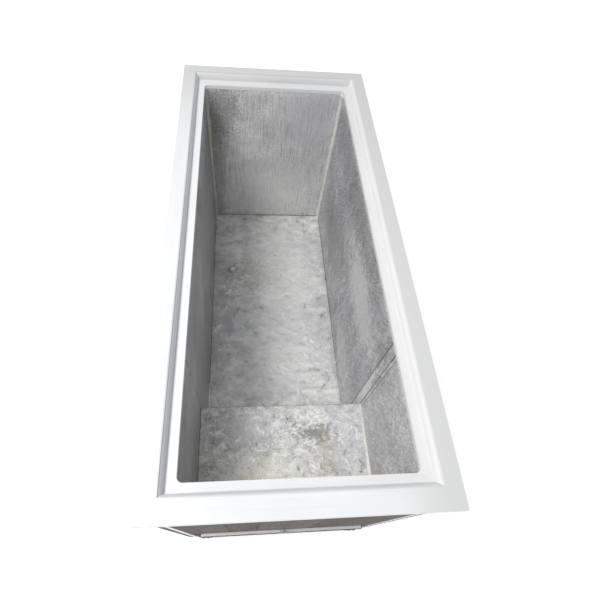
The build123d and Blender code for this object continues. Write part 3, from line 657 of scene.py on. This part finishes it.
def zinc_sheet(name, corner, run, rise, height, axes, material, spacing, turned=0.0, hole=None):
    """A sheet from corner along run and rise, its shown face raised by height(a, b) and 1 mm thick behind.

    turned is the width of the flange turned back at the end of rise. hole is (x, y, radius)."""
    corner = np.array(corner)
    run = np.array(run)
    rise = np.array(rise)
    long = np.linalg.norm(run)
    tall = np.linalg.norm(rise)
    out = np.cross(run, rise) / (long * tall)
    columns = max(2, round(long / spacing))
    rows = max(2, round(tall / spacing))
    s, t = np.meshgrid(np.linspace(0, 1, columns + 1), np.linspace(0, 1, rows + 1))
    points = corner + s[..., None] * run + t[..., None] * rise
    edge = np.minimum(np.minimum(s, 1 - s) * long, np.minimum(t, 1 - t) * tall)
    broad, small = height(points[..., axes[0]], points[..., axes[1]])
    raised = (broad + small) * smooth_edge(edge, CALM_EDGE)
    points = points + np.maximum(raised, -DEEPEST)[..., None] * out
    relief = small / RELIEF_FULL
    if turned:
        points = np.concatenate([points, (points[-1] - out * turned)[None]], axis=0)
        relief = np.concatenate([relief, np.zeros((1, columns + 1))], axis=0)
        rows += 1
    width = columns + 1
    faces = []
    for row in range(rows):
        for column in range(columns):
            first = row * width + column
            centre = (points[row, column] + points[row + 1, column + 1]) / 2
            if hole is None or math.hypot(centre[0] - hole[0], centre[1] - hole[1]) > hole[2]:
                faces.append((first, first + 1, first + width + 1, first + width))
    piece = add_piece(name, points.reshape(-1, 3), faces, material, "zinc")
    layer = piece.data.attributes.new("relief", "FLOAT", "POINT")
    layer.data.foreach_set("value", relief.ravel().astype(np.float32))
    shell = piece.modifiers.new("sheet_thickness", "SOLIDIFY")
    shell.thickness = SHEET
    shell.offset = -1
    return piece


def bead_mesh(store, start, end, first_leg, second_leg, size, seed, taper):
    """Add one bead of solder to store, in the corner line from start to end, with wandering edges.

    The legs point along the two faces of the corner. taper is its share of size at start and at end."""
    vertices, faces = store
    start = np.array(start)
    end = np.array(end)
    legs = [np.array(first_leg), np.array(second_leg)]
    long = np.linalg.norm(end - start)
    count = max(4, round(long / BEAD_STEP))
    t = np.linspace(0, 1, count + 1)
    width = size * (taper[0] + (taper[1] - taper[0]) * t)
    wander = [width * (1 + 0.22 * value_noise(seed + k, t * long, t * 0, 0.017, 1)) for k in (0, 1)]
    full = 0.5 + 0.10 * value_noise(seed + 2, t * long, t * 0, 0.009, 1)
    first = len(vertices)
    for i in range(count + 1):
        middle = start + (end - start) * t[i]
        a = legs[0] * wander[0][i]
        b = legs[1] * wander[1][i]
        vertices.extend([middle, middle + a])
        vertices.append(middle + (a * 0.72 + b * 0.28) * (full[i] + 0.45))
        vertices.append(middle + (a + b) * full[i] * 0.92)
        vertices.append(middle + (a * 0.28 + b * 0.72) * (full[i] + 0.45))
        vertices.append(middle + b)
    sides = 6
    for i in range(count):
        for k in range(sides):
            low = first + i * sides + k
            high = first + i * sides + (k + 1) % sides
            faces.append((low, high, high + sides, low + sides))
    faces.append(tuple(first + k for k in reversed(range(sides))))
    faces.append(tuple(first + count * sides + k for k in range(sides)))


def blob(store, centre, out, radius, stretch, turn, high):
    """Add one flattened drop to store, its base on centre and its top towards out."""
    vertices, faces = store
    out = Vector(out)
    across = out.orthogonal().normalized()
    other = out.cross(across)
    first = len(vertices)
    sides = 8
    for share, lift in ((1.0, -0.25), (0.86, 0.45), (0.45, 0.9)):
        for k in range(sides):
            angle = 2 * math.pi * k / sides
            a = math.cos(angle) * radius * stretch * share
            b = math.sin(angle) * radius * share
            side = across * (a * math.cos(turn) - b * math.sin(turn))
            side += other * (a * math.sin(turn) + b * math.cos(turn))
            vertices.append(tuple(Vector(centre) + side + out * (high * lift)))
    vertices.append(tuple(Vector(centre) + out * high))
    for ring in range(2):
        for k in range(sides):
            a = first + ring * sides + k
            b = first + ring * sides + (k + 1) % sides
            faces.append((a, b, b + sides, a + sides))
    for k in range(sides):
        faces.append((first + 2 * sides + k, first + 2 * sides + (k + 1) % sides, first + 3 * sides))
    faces.append(tuple(first + k for k in reversed(range(sides))))


# ---------------------------------------------------------------- zinc liner
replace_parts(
    zinc_sheet(
        "liner_floor_sheet", (-post_x, step_y - SHEET, floor_z), (2 * post_x, 0, 0),
        (0, far_y + SHEET - step_y + SHEET, 0), floor_height, (0, 1), floor_zinc, 0.0035,
        hole=(0, drain_y, 0.009),
    ),
    "liner_floor",
)
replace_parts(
    zinc_sheet(
        "liner_step_sheet", (-post_x, near_y - SHEET, step_z), (2 * post_x, 0, 0),
        (0, step_y - near_y + SHEET, 0), step_height, (0, 1), step_zinc, 0.0023,
    ),
    "liner_step",
)
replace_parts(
    zinc_sheet(
        "liner_riser_sheet", (inside_x, step_y, floor_z), (-2 * inside_x, 0, 0),
        (0, 0, step_z - SHEET - floor_z), far_height, (0, 2), riser_zinc, 0.008,
    ),
    "liner_riser",
)
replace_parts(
    zinc_sheet(
        "liner_far_sheet", (-inside_x, far_y, floor_z), (2 * inside_x, 0, 0),
        (0, 0, rim_z - floor_z), far_height, (0, 2), far_zinc, 0.0045, turned=flange,
    ),
    "liner_far",
)
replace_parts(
    zinc_sheet(
        "liner_near_sheet", (inside_x, near_y, step_z), (-2 * inside_x, 0, 0),
        (0, 0, rim_z - step_z), near_side_height, (0, 2), riser_zinc, 0.006, turned=flange,
    ),
    "liner_near",
)
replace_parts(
    zinc_sheet(
        "liner_right_sheet", (inside_x, far_y, floor_z), (0, lap_y - far_y, 0),
        (0, 0, rim_z - floor_z), right_height, (1, 2), right_zinc, 0.004, turned=flange,
    ),
    "liner_right",
)
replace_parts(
    zinc_sheet(
        "liner_left_sheet", (-inside_x, lap_y, floor_z), (0, far_y - lap_y, 0),
        (0, 0, rim_z - floor_z), left_height, (1, 2), left_zinc, 0.006, turned=flange,
    ),
    "liner_left",
)
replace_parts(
    zinc_sheet(
        "liner_near_right_sheet", (inside_x, lap_y, step_z), (0, near_y - lap_y, 0),
        (0, 0, rim_z - step_z), near_side_height, (1, 2), near_right_zinc, 0.0045, turned=flange,
    ),
    "liner_near_right",
)
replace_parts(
    zinc_sheet(
        "liner_near_left_sheet", (-inside_x, near_y, step_z), (0, lap_y - near_y, 0),
        (0, 0, rim_z - step_z), near_side_height, (1, 2), left_zinc, 0.006, turned=flange,
    ),
    "liner_near_left",
)
LAP_PROUD = 0.0012
zinc_sheet(
    "liner_right_lap", (inside_x - LAP_PROUD, lap_y + SHEET, floor_z), (0, step_y - lap_y - SHEET, 0),
    (0, 0, rim_z - SHEET - floor_z), lap_height, (1, 2), lap_zinc, 0.0033,
)
zinc_sheet(
    "liner_left_lap", (-inside_x + LAP_PROUD, step_y, floor_z), (0, lap_y + SHEET - step_y, 0),
    (0, 0, rim_z - SHEET - floor_z), lap_height, (1, 2), left_zinc, 0.0033,
)

# ---------------------------------------------------------------- solder in the corners
BEAD_STEP = 0.004  # length of one stretch of a bead
UPRIGHT_BEAD = 0.0115
FLAT_BEAD = 0.0022
STEP_BEAD = 0.004
FLOOR_BEAD = 0.0045
FLOOR_BEAD_END = -0.20
EVEN = (1.0, 1.0)  # the same size at both ends
FIRST_BEAD_SEED = 70
SEEDS_PER_BEAD = 4

left = -inside_x
right = inside_x
bright = ([], [])
dull = ([], [])
dark = ([], [])
beads = (
    (bright, (right, far_y, floor_z), (right, far_y, rim_z), LEFTWARDS, NEARWARDS, UPRIGHT_BEAD, EVEN),
    (dull, (left, far_y, floor_z), (left, far_y, rim_z), NEARWARDS, RIGHTWARDS, UPRIGHT_BEAD, EVEN),
    (dull, (right, near_y, step_z), (right, near_y, rim_z), FARWARDS, LEFTWARDS, UPRIGHT_BEAD, EVEN),
    (dull, (left, near_y, step_z), (left, near_y, rim_z), RIGHTWARDS, FARWARDS, UPRIGHT_BEAD, EVEN),
    (bright, (right, near_y, step_z), (right, step_y, step_z), UPWARDS, LEFTWARDS, STEP_BEAD, (2.4, 0.9)),
    (dark, (left, near_y, step_z), (left, step_y, step_z), RIGHTWARDS, UPWARDS, FLAT_BEAD, EVEN),
    (dark, (right, lap_y, floor_z), (right, far_y, floor_z), UPWARDS, LEFTWARDS, FLAT_BEAD, EVEN),
    (dark, (left, lap_y, floor_z), (left, far_y, floor_z), RIGHTWARDS, UPWARDS, FLAT_BEAD, EVEN),
    (dark, (left, far_y, floor_z), (right, far_y, floor_z), NEARWARDS, UPWARDS, FLAT_BEAD, EVEN),
    (dark, (left, near_y, step_z), (right, near_y, step_z), UPWARDS, FARWARDS, FLAT_BEAD, EVEN),
    (dull, (left, step_y, floor_z), (right, step_y, floor_z), UPWARDS, FARWARDS, FLAT_BEAD, EVEN),
    (
        bright, (left, lap_y, floor_z), (left, FLOOR_BEAD_END, floor_z),
        RIGHTWARDS, UPWARDS, FLOOR_BEAD, (1.0, 0.5),
    ),
)
for number, (store, start, end, first_leg, second_leg, size, taper) in enumerate(beads):
    seed = FIRST_BEAD_SEED + SEEDS_PER_BEAD * number
    bead_mesh(store, start, end, first_leg, second_leg, size, seed, taper)
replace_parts(add_piece("solder_beads_bright", *bright, bright_solder, "solder"), "solder_seams")
add_piece("solder_beads_dull", *dull, dull_solder, "solder")
add_piece("solder_beads_dark", *dark, dark_seam, "solder")

# ---------------------------------------------------------------- drops of solder
drops = ([], [])
random = np.random.default_rng(2026)


def scatter(count, a_range, b_range, place, out, radius):
    """Drops of solder at random places. place turns the two picked numbers into a point."""
    for _ in range(count):
        a = random.uniform(*a_range)
        b = random.uniform(*b_range)
        size = radius * random.uniform(0.35, 1.0) ** 2
        stretch = random.uniform(1.0, 2.6)
        blob(drops, place(a, b), out, size, stretch, random.uniform(0, math.pi), size * 0.35)


def raised_by(height, a, b):
    """How far a sheet stands out at one point."""
    broad, small = height(np.array([a]), np.array([b]))
    return broad[0] + small[0]


def on_step(a, b):
    return (a, b, step_z + raised_by(step_height, a, b))


def on_floor(a, b):
    return (a, b, floor_z + raised_by(floor_height, a, b))


def on_right_lap(a, b):
    return (inside_x - LAP_PROUD - raised_by(lap_height, a, b), a, b)


def on_near_right(a, b):
    return (inside_x - raised_by(near_side_height, a, b), a, b)


scatter(110, (-0.21, 0.02), (-0.61, -0.44), on_step, UPWARDS, 0.0030)
scatter(80, (-0.21, 0.21), (-0.61, -0.39), on_step, UPWARDS, 0.0026)
scatter(60, (-0.20, 0.20), (-0.31, -0.05), on_floor, UPWARDS, 0.0040)
scatter(45, (-0.20, 0.20), (-0.05, 0.58), on_floor, UPWARDS, 0.0030)
scatter(70, (step_y + 0.004, lap_y - 0.004), (0.20, 0.70), on_right_lap, LEFTWARDS, 0.0028)
scatter(20, (-0.60, -0.39), (0.42, 0.70), on_near_right, LEFTWARDS, 0.0016)
add_piece("solder_drops", *drops, splash_solder, "solder")

# ---------------------------------------------------------------- nails in the casing boards
NAIL_RADIUS = 0.0032
NAIL_HIGH = 0.0008
NAIL_WANDER = 0.004
NAIL_SHARES = (0.27, 0.73)  # where a board's two nails are across its width
TOP_NAILS = case_top - 0.035
LOW_NAILS = 0.028
DOOR_HEAD_NAILS = door_head + 0.045
nails = ([], [])


def nail(place, out):
    """Add one nail head, its top towards out."""
    blob(nails, place, out, NAIL_RADIUS, 1.0, 0.0, NAIL_HIGH)


def wandered(value):
    """value, moved a little at random."""
    return value + random.uniform(-NAIL_WANDER, NAIL_WANDER)


for number in range(BOARDS_ALONG_SIDE):
    for share in NAIL_SHARES:
        y = wandered(-case_y + (number + share) * 2 * case_y / BOARDS_ALONG_SIDE)
        for side in (-1, 1):
            for z in (TOP_NAILS, LOW_NAILS):
                nail((side * case_x, y, wandered(z)), (side, 0, 0))
for half, count, side, heights in (
    (far_half, BOARDS_ACROSS_END, 1, (TOP_NAILS, LOW_NAILS)),
    (near_half, BOARDS_OVER_DOORS, -1, (TOP_NAILS, DOOR_HEAD_NAILS)),
):
    for number in range(count):
        for share in NAIL_SHARES:
            x = wandered(-half + (number + share) * 2 * half / count)
            for z in heights:
                nail((x, side * case_y, wandered(z)), (0, side, 0))
add_piece("casing_nails", *nails, iron, "hinge_steel")

# ---------------------------------------------------------------- stage
STAGE_HALF = 12.0
STAGE_Z = -0.0005
STAGE_GLOW = 0.6  # keeps the floor white, and takes away most of the contact shadow
bpy.ops.mesh.primitive_plane_add(size=2 * STAGE_HALF, location=(0, 0, STAGE_Z))
ground = bpy.context.object
ground.name = "stage_floor"
stage_shader = Shader("stage_pale", metallic=0.0)
cloud = stage_shader.noise(stage_shader.place, 0.8, 2)
pale = stage_shader.blend(cloud, tone(250, 250, 250), tone(247, 247, 247))
stage_shader.feed(stage_shader.surface.inputs["Base Color"], pale)
stage_shader.surface.inputs["Roughness"].default_value = 0.9
stage_shader.surface.inputs["Emission Color"].default_value = (1, 1, 1, 1)
stage_shader.surface.inputs["Emission Strength"].default_value = STAGE_GLOW
ground.data.materials.append(stage_shader.material)

# ---------------------------------------------------------------- light
SKY_COLOUR = (0.98, 0.99, 1.0, 1)
SKY_STRENGTH = 0.47
KEY_PLACE = (-1.10, -0.55, 2.70)
KEY_SIZE = 0.9
KEY_POWER = 48
KEY_COLOUR = (1.0, 0.99, 0.98)
MIDDLE = (0, 0, deck_top)
world = bpy.data.worlds.new("studio")
bpy.context.scene.world = world
world.use_nodes = True
sky = world.node_tree.nodes["Background"]
sky.inputs["Color"].default_value = SKY_COLOUR
sky.inputs["Strength"].default_value = SKY_STRENGTH


def area_light(name, location, target, size, power, colour):
    data = bpy.data.lights.new(name, "AREA")
    data.shape = "DISK"
    data.size = size
    data.energy = power
    data.color = colour
    lamp = bpy.data.objects.new(name, data)
    bpy.context.scene.collection.objects.link(lamp)
    lamp.location = location
    lamp.rotation_euler = (Vector(target) - Vector(location)).to_track_quat("-Z", "Y").to_euler()


area_light("key_soft", KEY_PLACE, MIDDLE, KEY_SIZE, KEY_POWER, KEY_COLOUR)

# ---------------------------------------------------------------- camera
CAMERA_PLACE = (-0.105, -0.751, 1.563)
PITCH_DOWN = 60.59
YAW = 10.89
ROLL = 9.11
LENS = 24.45
SHIFT_X = 0.0269
SHIFT_Y = 0.0451
VIEW_GAMMA = 1.25
camera_data = bpy.data.cameras.new("camera")
camera_data.sensor_width = 36
camera_data.lens = LENS
camera_data.shift_x = SHIFT_X
camera_data.shift_y = SHIFT_Y
camera_data.clip_start = 0.01
camera = bpy.data.objects.new("camera", camera_data)
bpy.context.scene.collection.objects.link(camera)
yaw = Matrix.Rotation(math.radians(-YAW), 4, "Z")
pitch = Matrix.Rotation(math.radians(90 - PITCH_DOWN), 4, "X")
roll = Matrix.Rotation(math.radians(ROLL), 4, "Z")
camera.matrix_world = Matrix.Translation(CAMERA_PLACE) @ yaw @ pitch @ roll
bpy.context.scene.camera = camera
bpy.context.scene.view_settings.view_transform = "Standard"
bpy.context.scene.view_settings.gamma = VIEW_GAMMA
